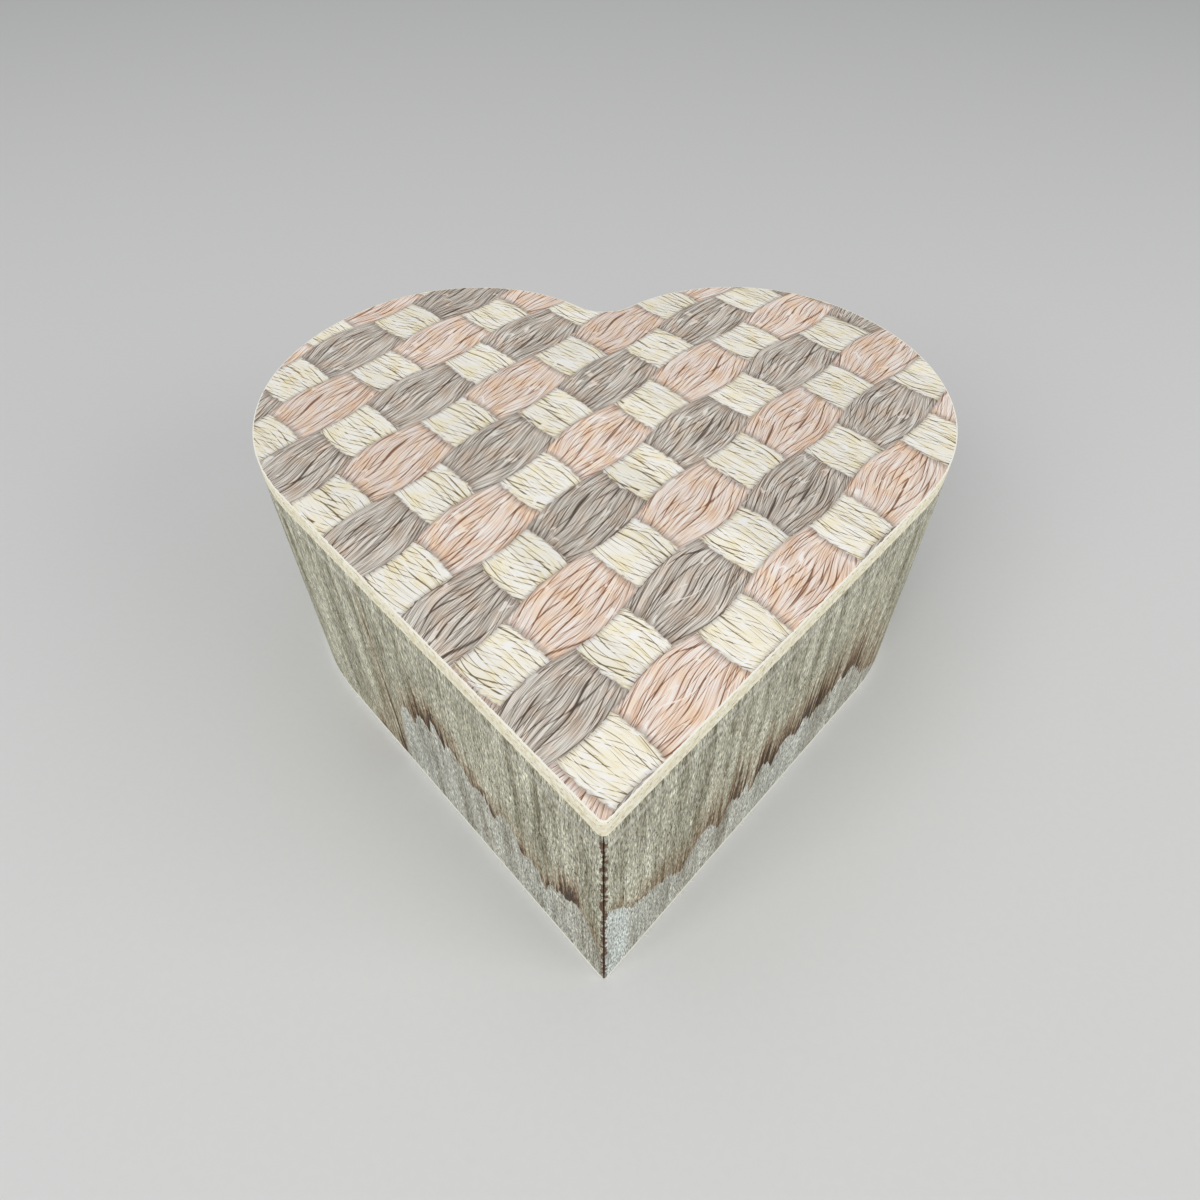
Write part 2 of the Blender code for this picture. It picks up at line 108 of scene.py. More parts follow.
@dataclass(frozen=True)
class HeartPlan:
    """The heart from above, in mm: straight sides, side arcs, lobes and the cleft between them."""

    width: float
    back: float
    half_tip: float = math.radians(42.2)
    side_radius: float = 35.7
    shoulder_turn: float = math.radians(51.4)
    lobe_radius: float = 27.6
    cleft_radius: float = 6.5
    tip_round: float = 1.0
    spacing: float = 0.7
    tip_columns: int = 4
    tip_step: float = 0.06

    @cached_property
    def side_centre(self) -> Vector:
        """Centre of the side's arc, measured from the sharp tip."""
        x = self.width / 2 - self.side_radius
        along = (x + self.side_radius * math.cos(self.half_tip)) / math.sin(self.half_tip)
        y = along * math.cos(self.half_tip) + self.side_radius * math.sin(self.half_tip)
        return Vector((x, y))

    @cached_property
    def lobe_centre(self) -> Vector:
        """Centre of the lobe's arc, on the line where the two arcs meet."""
        reach = self.side_radius - self.lobe_radius
        return self.side_centre + heading(self.shoulder_turn) * reach

    @cached_property
    def cleft_turn(self) -> float:
        """Angle of the cleft's arc on each side of the middle."""
        return math.asin(self.lobe_centre.x / (self.lobe_radius + self.cleft_radius))

    @cached_property
    def cleft_centre(self) -> Vector:
        """Centre of the cleft's arc, behind the outline."""
        rise = (self.lobe_radius + self.cleft_radius) * math.cos(self.cleft_turn)
        return Vector((0.0, self.lobe_centre.y + rise))

    @cached_property
    def tip_y(self) -> float:
        """Where the sharp tip lies in the frame, found from the backs of the lobes."""
        return self.back - (self.lobe_centre.y + self.lobe_radius)

    @cached_property
    def tip_centre(self) -> Vector:
        """Centre of the tip's rounding."""
        return Vector((0.0, self.tip_round / math.sin(self.half_tip)))

    @cached_property
    def side_along(self) -> Vector:
        """Direction of the straight side, away from the tip."""
        return Vector((math.sin(self.half_tip), math.cos(self.half_tip)))

    def _tip(self, inset: float, seam: float) -> list[tuple[Vector, float]]:
        """Walks the eased tip, or the mitre's sharp foot where the inset has used up the rounding.

        Args:
            inset: Distance inside the outline.
            seam: Distance kept from the middle plane.

        Returns:
            Points with the angle of their outward direction.
        """
        radius = self.tip_round - inset
        steps = range(self.tip_columns)
        if radius > seam + self.tip_step:
            start = math.asin(seam / radius) - math.pi / 2
            turns = [start + (-self.half_tip - start) * i / self.tip_columns for i in steps]
            return [(self.tip_centre + heading(t) * radius, t) for t in turns]
        foot = Vector((seam, inset / math.sin(self.half_tip) + seam / math.tan(self.half_tip)))
        return [(foot + self.side_along * self.tip_step * i, -self.half_tip) for i in steps]

    def _half(self, inset: float, seam: float) -> list[tuple[Vector, float]]:
        """Walks the right half from the tip to the cleft, with as many points at every inset."""
        points = self._tip(inset, seam)
        side = self.side_radius - inset
        lobe = self.lobe_radius - inset
        cleft = self.cleft_radius + inset
        normal = heading(-self.half_tip)
        last, last_turn = points[-1]
        if last_turn != -self.half_tip:
            start = self.tip_centre + normal * (self.tip_round - inset)
        else:
            start = last + self.side_along * self.tip_step
        end = self.side_centre + normal * side
        count = round(self.side_centre.length * math.cos(self.half_tip) / self.spacing)
        points += [(start.lerp(end, i / count), -self.half_tip) for i in range(count)]
        arcs = (
            (self.side_centre, side, self.side_radius, -self.half_tip, self.shoulder_turn),
            (self.lobe_centre, lobe, self.lobe_radius, self.shoulder_turn, math.pi / 2 + self.cleft_turn),
        )
        for centre, radius, full, first, last in arcs:
            count = round(full * (last - first) / self.spacing)
            turns = [first + (last - first) * i / count for i in range(count)]
            points += [(centre + heading(t) * radius, t) for t in turns]
        first = self.cleft_turn - math.pi / 2
        last = math.asin(seam / cleft) - math.pi / 2
        count = round(self.cleft_radius * self.cleft_turn / self.spacing)
        for i in range(count + 1):
            turn = first + (last - first) * i / count
            points.append((self.cleft_centre + heading(turn) * cleft, turn + math.pi))
        return points

    @cached_property
    def runs(self) -> list[float]:
        """Distance of each point from the tip, along the outline itself."""
        points = [spot for spot, _ in self._half(0.0, 0.0)]
        runs = [0.0]
        for before, after in zip(points, points[1:]):
            runs.append(runs[-1] + (after - before).length)
        return runs

    def half(self, inset: float, seam: float = 0.0) -> list[Station]:
        """Stations of the right half at an inset, in the frame.

        Args:
            inset: Distance inside the outline, in mm.
            seam: Distance kept from the middle plane at the tip and at the cleft, in mm.

        Returns:
            Stations from the tip to the cleft.
        """
        walked = zip(self._half(inset, seam), self.runs)
        return [Station(p.x, p.y + self.tip_y, math.cos(t), math.sin(t), run) for (p, t), run in walked]

    def whole(self, inset: float) -> list[Station]:
        """Stations of the whole outline, anticlockwise from the tip, with runs below zero on the left."""
        right = self.half(inset)
        left = [Station(-s.x, s.y, -s.out_x, s.out_y, -s.run) for s in reversed(right[1:-1])]
        return right + left


# ----------------------------------------------------------------------
# Materials


def srgb(code: str) -> Colour:
    """Turns an sRGB hex code into the linear colour that shaders use."""
    parts = [int(code[i : i + 2], 16) / 255 for i in (1, 3, 5)]
    red, green, blue = [p / 12.92 if p <= 0.04045 else ((p + 0.055) / 1.055) ** 2.4 for p in parts]
    return (red, green, blue, 1.0)


class Recipe:
    """The node tree of one finish, written as steps that each add a node."""

    def __init__(self, name: str) -> None:
        """Starts an empty tree in a new material of this name."""
        self.material = bpy.data.materials.new(name)
        self.material.use_nodes = True
        self.tree = self.material.node_tree
        self.tree.nodes.clear()

    def add(self, kind: str, *values, out: int | str = 0, stops=(), **settings) -> Socket:
        """Adds a shader node with its settings and links.

        Args:
            kind: The node's type name without its ShaderNode prefix, and its operation after a space.
            values: What its inputs take, in order: a number, a hex colour, a socket or None.
            out: Which output to hand back.
            stops: A colour ramp's positions and hex colours.
            settings: Inputs by name, with underscores for spaces, and the node's own properties.

        Returns:
            The chosen output socket.
        """
        kind, _, operation = kind.partition(" ")
        node = self.tree.nodes.new("ShaderNode" + kind)
        inputs = dict(enumerate(values))
        if operation:
            node.operation = operation
        if kind == "Mix":
            node.data_type = "RGBA"
            out = 2
            inputs = dict(zip((0, 6, 7), values))
        for name, value in settings.items():
            if name[0].isupper():
                inputs[name.replace("_", " ")] = value
            else:
                setattr(node, name, value)
        for position, _ in stops[2:]:
            node.color_ramp.elements.new(position)
        for element, (position, code) in zip(node.color_ramp.elements if stops else (), stops):
            element.position = position
            element.color = srgb(code)
        for name, value in inputs.items():
            socket = node.inputs[name]
            if isinstance(value, Socket):
                self.tree.links.new(value, socket)
            elif isinstance(value, str):
                socket.default_value = srgb(value)[: len(socket.default_value)]
            elif value is not None:
                socket.default_value = value
        return node.outputs[out] if node.outputs else None

    def mottle(self, place: Socket, size: Triple, detail: float = 2.0, roughness: float = 0.5) -> Socket:
        """Adds noise with cells of a real size.

        Args:
            place: Where it is.
            size: The cells' size along each direction, in the place's own unit.
            detail: How many finer layers it has.
            roughness: How strong they are.

        Returns:
            The noise, about a half.
        """
        place = self.add("VectorMath MULTIPLY", place, [1 / length for length in size])
        return self.add("TexNoise", Vector=place, Scale=1.0, Detail=detail, Roughness=roughness)

    def close(self, colour: Socket, roughness: Socket, bump: Socket, **constants: float) -> Material:
        """Ends the tree in a Principled shader.

        Args:
            colour: Base colour.
            roughness: Roughness.
            bump: Surface normal.
            constants: Sockets that are the same all over, by name with underscores for spaces.

        Returns:
            The finished material.
        """
        main = {"Base_Color": colour, "Roughness": roughness, "Normal": bump}
        shader = self.add("BsdfPrincipled", **main, **constants)
        self.add("OutputMaterial", Surface=shader)
        return self.material


@dataclass(frozen=True)
class BentPlywood:
    """Bent birch plywood, sanded, with an old water stain that stopped in a toothed tide mark.

    The veneer's grain stands upright. It gives a matt, grey-tan, fuzzy face with fine dark pores, a brown
    band that is darkest at the tide mark, and a paler, washed face under it. Lengths are in mm; grain,
    pores, bands and jags are cells along the run, the depth and the height. Birch pores are under 0.1 mm
    wide, too fine to show, so they are drawn coarser.
    """

    face: str = "#dad8c4"
    face_dark: str = "#756e56"
    washed: str = "#d3d1c4"
    washed_dark: str = "#837b68"
    bleached: str = "#dfe7e3"
    stain_light: str = "#ac8f5c"
    stain_body: str = "#7f5c3a"
    stain_dark: str = "#3c281a"
    # Painted highlight colour for the box's bottom arris, the trimmed ledge and the loose fibres.
    sheen_highlight: str = "#fffdf2"
    glue: str = "#65442f"
    core: str = "#cdb893"
    inner: str = "#d3bf99"
    grain: Triple = (0.42, 2.5, 5.0)
    pore: Triple = (0.17, 2.0, 1.1)
    pore_depth: float = 0.8
    fuzz_lift: float = 0.75
    band: Triple = (2.4, 10.0, 40.0)
    jag: Triple = (0.6, math.inf, 25.0)
    jag_reach: float = 3.0
    face_veneer: float = 0.8
    core_end: float = 3.2
    ledge: float = 40.12
    glue_top: float = 41.0

    def _veneer(self, r: Recipe, board: Socket, above: Socket, wash: Socket) -> Sockets:
        """Paints the sanded veneer above and below the tide mark.

        Args:
            r: The tree to add to.
            board: Run, depth and height.
            above: Whether a place is above the tide mark.
            wash: How far the water has bleached the face.

        Returns:
            The colour, the grain and the pores.
        """
        grain = r.mottle(board, self.grain, 4.0, 0.65)
        pores = r.mottle(board, self.pore, 2.0, 0.6)
        bands = r.mottle(board, self.band, 3.0, 0.6)
        tone = r.add("Math MULTIPLY_ADD", bands, 0.9, grain)
        streak = r.add("MapRange", tone, 0.72, 1.12)
        clean = r.add("Mix", streak, self.face_dark, self.face)
        pale = r.add("Mix", streak, self.washed_dark, self.washed)
        bleach = r.add("Math MULTIPLY_ADD", streak, 0.7, 0.3)
        bleach = r.add("Math MULTIPLY", bleach, wash)
        pale = r.add("Mix", bleach, pale, self.bleached)
        veneer = r.add("Mix", above, pale, clean)
        cloud = r.add("TexNoise", Vector=board, Scale=0.11, Detail=3.0, Roughness=0.55)
        shade = r.add("MapRange", cloud, 0.3, 0.7, 0.9, 1.08)
        veneer = r.add("VectorMath SCALE", veneer, Scale=shade)
        return veneer, grain, pores

    def _stain(self, r: Recipe, veneer: Socket, jags: Socket, grain: Socket, tide: Sockets) -> Socket:
        """Soaks the stain into the veneer: strongest at the tide mark, drawn up the grain in streaks.

        Args:
            r: The tree to add to.
            veneer: The veneer's colour.
            jags: Fine upright streaks, about zero.
            grain: The veneer's grain.
            tide: Height over the mark, the stain's rise over it, how dark it is, and the mark's mask.

        Returns:
            The colour with the stain in it.
        """
        level, rise, darkness, above = tide
        reach = r.add("Math MULTIPLY_ADD", jags, 3.2, 1.0)
        reach = r.add("Math MAXIMUM", reach, 0.25)
        reach = r.add("Math MULTIPLY", reach, rise)
        drawn = r.add("Math DIVIDE", level, reach)
        fade = r.add("MapRange", drawn, 1.0, 0.05)
        fade = r.add("Math POWER", fade, 1.3)
        uneven = r.add("MapRange", grain, 0.35, 0.65, 1.3, 0.6)
        streaks = r.add("MapRange", jags, -0.16, 0.16, 0.45, 1.45)
        uneven = r.add("Math MULTIPLY", uneven, streaks)
        stain = r.add("Math MULTIPLY", fade, darkness)
        stain = r.add("Math MULTIPLY", stain, uneven)
        stain = r.add("Math MULTIPLY", stain, above)
        stops = ((0.0, self.stain_light), (0.5, self.stain_body), (1.0, self.stain_dark))
        soaked = r.add("ValToRGB", stain, stops=stops)
        cover = r.add("MapRange", stain, 0.0, 0.75, 0.0, 0.92)
        return r.add("Mix", cover, veneer, soaked)

    def build(self) -> Material:
        """Builds the material.

        Returns:
            The material, which reads the board_mm, tide and edges_mm attributes.
        """
        r = Recipe("bent_plywood")
        names = ("board_mm", "tide", "edges_mm")
        board, tide, edges = (r.add("Attribute", attribute_name=name, out="Vector") for name in names)
        depth, height = (r.add("SeparateXYZ", board, out=axis) for axis in "YZ")
        level, rise, darkness = (r.add("SeparateXYZ", tide, out=axis) for axis in "XYZ")
        joint, arris, wash = (r.add("SeparateXYZ", edges, out=axis) for axis in "XYZ")

        # The tide mark's fine teeth, the veneer on both sides of it and the stain over it.
        jags = r.mottle(board, self.jag)
        jags = r.add("Math SUBTRACT", jags, 0.5)
        level = r.add("Math MULTIPLY_ADD", jags, self.jag_reach, level)
        above = r.add("MapRange", level, -0.15, 0.15)
        veneer, grain, pores = self._veneer(r, board, above, wash)
        veneer = self._stain(r, veneer, jags, grain, (level, rise, darkness, above))
        pore_mask = r.add("MapRange", pores, 0.48, 0.34)
        fuzz_mask = r.add("MapRange", pores, 0.52, 0.65)
        gain = r.add("Math MULTIPLY_ADD", pore_mask, -self.pore_depth, 1.0)
        gain = r.add("Math MULTIPLY_ADD", fuzz_mask, self.fuzz_lift, gain)
        veneer = r.add("VectorMath SCALE", veneer, Scale=gain)

        # Painted highlights: the box's bottom arris and the trimmed ledge are lightened as if they caught
        # the light on their fibres' sheen; the glued mitre shows as a dark dotted line.
        painted_highlight = r.add("MapRange", arris, 1.25, 0.9)
        off_ledge = r.add("Math SUBTRACT", height, self.ledge)
        off_ledge = r.add("Math ABSOLUTE", off_ledge)
        ledge = r.add("MapRange", off_ledge, 0.22, 0.1, 0.0, 0.3)
        painted_highlight = r.add("Math MAXIMUM", painted_highlight, ledge)
        veneer = r.add("Mix", painted_highlight, veneer, self.sheen_highlight)
        dots = r.add("TexNoise", Vector=board, Scale=0.9, Detail=1.0)
        reach = r.add("MapRange", dots, 0.42, 0.62, 0.02, 0.6)
        over_glue = r.add("Math GREATER_THAN", height, self.glue_top)
        reach = r.add("Math SUBTRACT", reach, over_glue)
        off_glue = r.add("Math SUBTRACT", reach, joint)
        glue = r.add("MapRange", off_glue, -0.03, 0.15, 0.0, 0.9)
        veneer = r.add("Mix", glue, veneer, self.glue)

        # Across the sawn rim: face veneer, core and inner veneer, with a glue line between them.
        core_tone = r.add("MapRange", grain, 0.35, 0.65, 0.8, 1.1)
        core = r.add("VectorMath SCALE", self.core, Scale=core_tone)
        inner = r.add("VectorMath SCALE", self.inner, Scale=core_tone)
        in_core = r.add("MapRange", depth, self.face_veneer, self.face_veneer + 0.05)
        in_lining = r.add("MapRange", depth, self.core_end, self.core_end + 0.05)
        ply = r.add("Mix", in_core, veneer, core)
        ply = r.add("Mix", in_lining, ply, inner)

        relief = r.add("Math MULTIPLY_ADD", pores, 1.5, grain)
        bump = r.add("Bump", Height=relief, Distance=0.14 * MM, Strength=0.9)
        rough = r.add("MapRange", grain, 0.3, 0.7, 0.78, 0.92)
        return r.close(ply, rough, bump, IOR=1.5, Specular_IOR_Level=0.25)


@dataclass(frozen=True)
class SawnPly:
    """Poplar plywood board, sawn and sanded: pale cream, three plies in the edge, brown specks."""

    name: str = "bare_board"
    light: str = "#fffbe9"
    dark: str = "#e6d9ae"
    speck: str = "#94805c"
    grain: Triple = (9.0, 0.5, 0.7)
    ply: float = 0.95

    def build(self) -> Material:
        """Builds the material, with its grain along X on the faces and its plies stacked in the edge."""
        r = Recipe(self.name)
        place = r.add("TexCoord", out="Object")
        board = r.add("Attribute", attribute_name="board_mm", out="Vector")
        height = r.add("SeparateXYZ", board, out="Z")
        grain = r.mottle(place, [length * MM for length in self.grain], 5.0, 0.6)
        tone = r.add("MapRange", grain, 0.3, 0.62)
        colour = r.add("Mix", tone, self.dark, self.light)
        plies = r.add("Math DIVIDE", height, self.ply)
        plies = r.add("Math PINGPONG", plies, 1.0)
        shade = r.add("MapRange", plies, 0.2, 0.8, 0.96, 1.05)
        colour = r.add("VectorMath SCALE", colour, Scale=shade)
        speck_place = r.add("VectorMath MULTIPLY", board, (1.2, 1.2, 2.6))
        speck = r.add("TexNoise", Vector=speck_place, Scale=1.0, Detail=2.0)
        speck = r.add("MapRange", speck, 0.41, 0.31, 0.0, 0.7)
        colour = r.add("Mix", speck, colour, self.speck)
        bump = r.add("Bump", Height=grain, Distance=0.06 * MM, Strength=0.7)
        rough = r.add("MapRange", grain, 0.3, 0.7, 0.7, 0.85)
        return r.close(colour, rough, bump, IOR=1.5, Specular_IOR_Level=0.3)


@dataclass(frozen=True)
class Yarn:
    """Printed colours of one kind of yarn, from dark strokes to lights, with a tint over some fibres.

    A fibre and a bundle are sizes across and along the yarn in mm. The twists are the slopes of the
    fibres and of the strokes that cross them.
    """

    stroke: str
    shade: str
    body: str
    light: str
    tint: str
    fibre: Knot = (0.2, 8.0)
    bundle: Knot = (0.9, 9.0)
    twists: Knot = (0.03, -0.2)


@dataclass(frozen=True)
class WovenPrint:
    """Coated paper printed with a close view of plain-woven jute and cotton cord, pressed on the lid.

    It gives flat, matt colour: grey and peach ribbons of loose fibre that run up to the right, over and
    under cream cords that run down to the right. All lengths are in mm.
    """

    ribbon_step: Knot = (7.955, 9.270)
    cord_step: Knot = (6.400, -6.933)
    first_pad: Knot = (0.82, 22.63)
    grey: Yarn = Yarn("#5a4e44", "#91867a", "#c3baae", "#f0eae0", "#f0e0d4")
    peach: Yarn = Yarn("#84624d", "#d3b49f", "#f2ded0", "#fff8f0", "#f8e4cb")
    cream: Yarn = Yarn(
        "#7c6d59", "#efe5cd", "#fffaec", "#fffefc", "#fcf5dc", fibre=(0.5, 12.0), twists=(-0.02, -0.36)
    )
    shadow: str = "#75645a"
    paper: str = "#fdf9ec"
    edge: float = 0.2
    pad_half: float = 0.62
    pad_flare: float = 0.10
    swell: float = 0.08
    fray: float = 0.09
    fan: float = 0.0009
    stretch: float = 1.8e-5
    tones: tuple[float, ...] = (0.08, 0.36, 0.6, 0.92)

    def _reciprocal(self) -> tuple[Knot, Knot]:
        """Vectors whose products with a place count the ribbon steps and the cord steps to it."""
        (px, py), (qx, qy) = self.ribbon_step, self.cord_step
        area = px * qy - py * qx
        return (qy / area, -qx / area), (-py / area, px / area)

    def _strokes(self, r: Recipe, x: Socket, y: Socket, chance: Socket, yarn: Yarn) -> Socket:
        """Draws one yarn: long thin fibres, dark gaps between bundles of them, and stray pale hairs.

        Args:
            r: The tree to add to.
            x: Distance across the yarn, in mm.
            y: Distance along the yarn, in mm.
            chance: The pad's own number, which moves it to fibres of its own.
            yarn: The colours and sizes.

        Returns:
            The yarn's colour.
        """
        # Two sets of fibres that wander a little: one nearly along the yarn, one crossing it at a slant.
        y = r.add("Math MULTIPLY_ADD", chance, 97.0, y)
        leaning = r.add("Math MULTIPLY_ADD", y, yarn.twists[0], x)
        spot = r.add("CombineXYZ", leaning, y)
        wander = r.mottle(spot, (10.0, 50 / 7, math.inf), 0.0)
        wander = r.add("Math MULTIPLY_ADD", wander, 0.9, leaning)
        spot = r.add("CombineXYZ", wander, y)
        opposed = r.add("Math MULTIPLY_ADD", y, yarn.twists[1] - yarn.twists[0], wander)
        opposed = r.add("CombineXYZ", opposed, y)

        # Each fibre has a tone of its own; the gaps between bundles are dark lanes, broken and uneven.
        scale = (1 / yarn.fibre[0], 1 / yarn.fibre[1], 0.0)
        place = r.add("VectorMath MULTIPLY", spot, scale)
        cell = r.add("TexVoronoi", Vector=place, Scale=1.0, out="Color", voronoi_dimensions="2D")
        cell = r.add("SeparateXYZ", cell)
        fine = r.add("TexNoise", Vector=place, Scale=1.3, Detail=1.0, Roughness=0.6)
        tone = r.add("Math MULTIPLY_ADD", fine, 1.35, -0.18)
        tone = r.add("Math MULTIPLY_ADD", cell, 0.36, tone)

        scale = (1 / yarn.bundle[0], 1 / yarn.bundle[1], 0.0)
        for line, strength, apart in ((spot, 0.72, 0.0), (opposed, 0.62, 31.0)):
            place = r.add("VectorMath MULTIPLY_ADD", line, scale, (apart, apart, 0.0))
            uneven = r.add("TexNoise", Vector=place, Scale=0.6, Detail=0.0)
            lane = r.add("SeparateXYZ", place, out="X")
            lane = r.add("Math MULTIPLY_ADD", uneven, 1.6, lane)
            gap = r.add("Math PINGPONG", lane, 0.5)
            broken = r.add("TexNoise", Vector=place, Scale=1.0, Detail=1.0)
            width = r.add("MapRange", broken, 0.4, 0.64, 0.004, 0.18)
            gap = r.add("MapRange", gap, 0.0, width, strength, 0.0)
            tone = r.add("Math SUBTRACT", tone, gap)

        # Stray pale hairs follow one level of a slow noise, here and there.
        hair = r.mottle(opposed, (2.5, 100 / 7, math.inf), 1.0)
        hair = r.add("Math SUBTRACT", hair, 0.5)
        hair = r.add("Math ABSOLUTE", hair)
        hair = r.add("MapRange", hair, 0.006, 0.016, 0.45, 0.0)
        sparse = r.add("TexNoise", Vector=opposed, Scale=0.35, Detail=0.0)
        sparse = r.add("MapRange", sparse, 0.5, 0.55)
        hair = r.add("Math MULTIPLY", hair, sparse)
        tone = r.add("Math ADD", tone, hair)
        stops = tuple(zip(self.tones, (yarn.stroke, yarn.shade, yarn.body, yarn.light)))
        colour = r.add("ValToRGB", tone, stops=stops)
        warm = r.add("TexNoise", Vector=spot, Scale=0.3, Detail=1.0)
        warm = r.add("MapRange", warm, 0.4, 0.7, 0.0, 0.8)
        tinted = r.add("VectorMath MULTIPLY", colour, yarn.tint)
        tinted = r.add("VectorMath SCALE", tinted, Scale=1 / max(srgb(yarn.tint)[:3]))
        return r.add("Mix", warm, colour, tinted)

    def build(self) -> Material:
        """Builds the material.

        Returns:
            The material, which reads places on the lid and the board_mm attribute.
        """
        r = Recipe("printed_paper")
        place = r.add("TexCoord", out="Object")
        place = r.add("VectorMath SCALE", place, Scale=1 / MM)
        back = r.add("SeparateXYZ", place, out="Y")
        fan = r.add("Math MULTIPLY_ADD", back, -self.fan, 1.0)
        stretch = r.add("Math MULTIPLY", back, back)
        stretch = r.add("Math MULTIPLY_ADD", stretch, self.stretch, 1.0)
        stretch = r.add("CombineXYZ", fan, stretch, 1.0)
        place = r.add("VectorMath MULTIPLY", place, stretch)
        drift = r.add("TexNoise", Vector=place, Scale=0.08, Detail=0.0, out="Color")
        drift = r.add("VectorMath SUBTRACT", drift, (0.5, 0.5, 0.5))
        place = r.add("VectorMath MULTIPLY_ADD", drift, (1.0, 1.0, 0.0), place)
        frayed = r.add("TexNoise", Vector=place, Scale=1.1, Detail=2.0, out="Color")
        frayed = r.add("VectorMath SUBTRACT", frayed, (0.5, 0.5, 0.5))
        frayed = r.add("VectorMath SCALE", frayed, Scale=self.fray)
        fray_end = r.add("SeparateXYZ", frayed, out="X")
        fray_side = r.add("SeparateXYZ", frayed, out="Y")
        from_pad = r.add("VectorMath SUBTRACT", place, (*self.first_pad, 0.0))

        # Count the steps along the ribbons and along the cords; pads on top push the rows apart.
        ribbon, cord = self._reciprocal()
        a = r.add("VectorMath DOT_PRODUCT", from_pad, (*ribbon, 0.0), out="Value")
        b = r.add("VectorMath DOT_PRODUCT", from_pad, (*cord, 0.0), out="Value")
        wave_a = r.add("Math MULTIPLY", a, math.pi)
        wave_a = r.add("Math COSINE", wave_a)
        wave_b = r.add("Math MULTIPLY", b, math.pi)
        wave_b = r.add("Math SINE", wave_b)
        wave = r.add("Math MULTIPLY", wave_a, wave_b)
        pushed = r.add("Math MULTIPLY_ADD", wave, -self.swell, b)
        row = r.add("Math ADD", pushed, fray_side)
        row = r.add("Math ROUND", row)
        v = r.add("Math SUBTRACT", pushed, row)
        pairs = r.add("Math SUBTRACT", a, row)
        pairs = r.add("Math MULTIPLY", pairs, 0.5)
        nearest = r.add("Math ROUND", pairs)
        under = r.add("Math FLOOR", pairs)
        u = r.add("Math SUBTRACT", pairs, nearest)
        u = r.add("Math MULTIPLY", u, 2.0)
        w = r.add("Math SUBTRACT", pairs, under)
        w = r.add("Math MULTIPLY_ADD", w, 2.0, -1.0)
        u_size = r.add("Math ABSOLUTE", u)
        v_size = r.add("Math ABSOLUTE", v)
        v_square = r.add("Math MULTIPLY", v, v)
        u_square = r.add("Math MULTIPLY", u, u)
        end = r.add("Math MULTIPLY_ADD", v_square, self.pad_flare, self.pad_half)
        end = r.add("Math ADD", end, fray_end)
        inside = r.add("Math SUBTRACT", end, u_size)
        on_ribbon = r.add("MapRange", inside, -0.006, 0.008)

        # Ribbons: fibres lie a little steeper than the ribbon and crowd together at its ends.
        odd = r.add("Math PINGPONG", row, 1.0)
        pad = r.add("CombineXYZ", nearest, row)
        chance = r.add("TexWhiteNoise", Vector=pad, out="Value", noise_dimensions="3D")
        lean = r.add("Math MULTIPLY_ADD", u, 0.2, v)
        crowd = r.add("Math MULTIPLY_ADD", u_square, -0.3, 1.0)
        spread = r.add("Math DIVIDE", lean, crowd)
        pad_width = Vector(self.cord_step).length
        pad_length = Vector(self.ribbon_step).length
        across = r.add("Math MULTIPLY", spread, pad_width)
        along = r.add("Math MULTIPLY", u, pad_length)
        grey = self._strokes(r, across, along, chance, self.grey)
        peach = self._strokes(r, across, along, chance, self.peach)
        ribbon_colour = r.add("Mix", odd, grey, peach)
        dive = r.add("MapRange", inside, 0.09, 0.0, 0.0, 0.55)
        flank = r.add("MapRange", v_size, 0.45, 0.5, 0.0, 0.5)
        dusk = r.add("Math MAXIMUM", dive, flank)
        ribbon_colour = r.add("Mix", dusk, ribbon_colour, self.shadow)

        # Cords: fewer, thicker strands, nearly along the cord, with a steeper twist crossing them.
        cord_pad = r.add("CombineXYZ", under, row, 7.0)
        cord_chance = r.add("TexWhiteNoise", Vector=cord_pad, out="Value", noise_dimensions="3D")
        cord_lean = r.add("Math MULTIPLY_ADD", v, 0.01, w)
        cord_crowd = r.add("Math MULTIPLY_ADD", v_square, -0.5, 1.0)
        cord_spread = r.add("Math DIVIDE", cord_lean, cord_crowd)
        across = r.add("Math MULTIPLY", cord_spread, pad_length)
        along = r.add("Math MULTIPLY", v, pad_width)
        cream = self._strokes(r, across, along, cord_chance, self.cream)
        cord_dive = r.add("MapRange", v_size, 0.43, 0.5, 0.0, 0.4)
        cord_flank = r.add("MapRange", inside, -0.03, 0.0, 0.0, 0.4)
        cord_dusk = r.add("Math MAXIMUM", cord_dive, cord_flank)
        cream = r.add("Mix", cord_dusk, cream, self.shadow)
        picture = r.add("Mix", on_ribbon, cream, ribbon_colour)

        # Each pad a shade of its own; the sheet's sanded edge bares the white paper.
        tint = r.add("MapRange", chance, None, None, 0.93, 1.04)
        picture = r.add("VectorMath SCALE", picture, Scale=tint)
        board = r.add("Attribute", attribute_name="board_mm", out="Vector")
        depth = r.add("SeparateXYZ", board, out="Y")
        ragged = r.add("TexNoise", Vector=place, Scale=1.6, Detail=3.0)
        rim = r.add("Math MULTIPLY_ADD", ragged, 0.3, self.edge - 0.15)
        bared = r.add("Math LESS_THAN", depth, rim)
        colour = r.add("Mix", bared, picture, self.paper)
        pulp = r.add("TexNoise", Vector=place, Scale=3.5, Detail=3.0)
        bump = r.add("Bump", Height=pulp, Distance=0.02 * MM, Strength=0.5)
        rough = r.add("MapRange", pulp, 0.3, 0.7, 0.5, 0.62)
        return r.close(colour, rough, bump, IOR=1.5, Specular_IOR_Level=0.3)


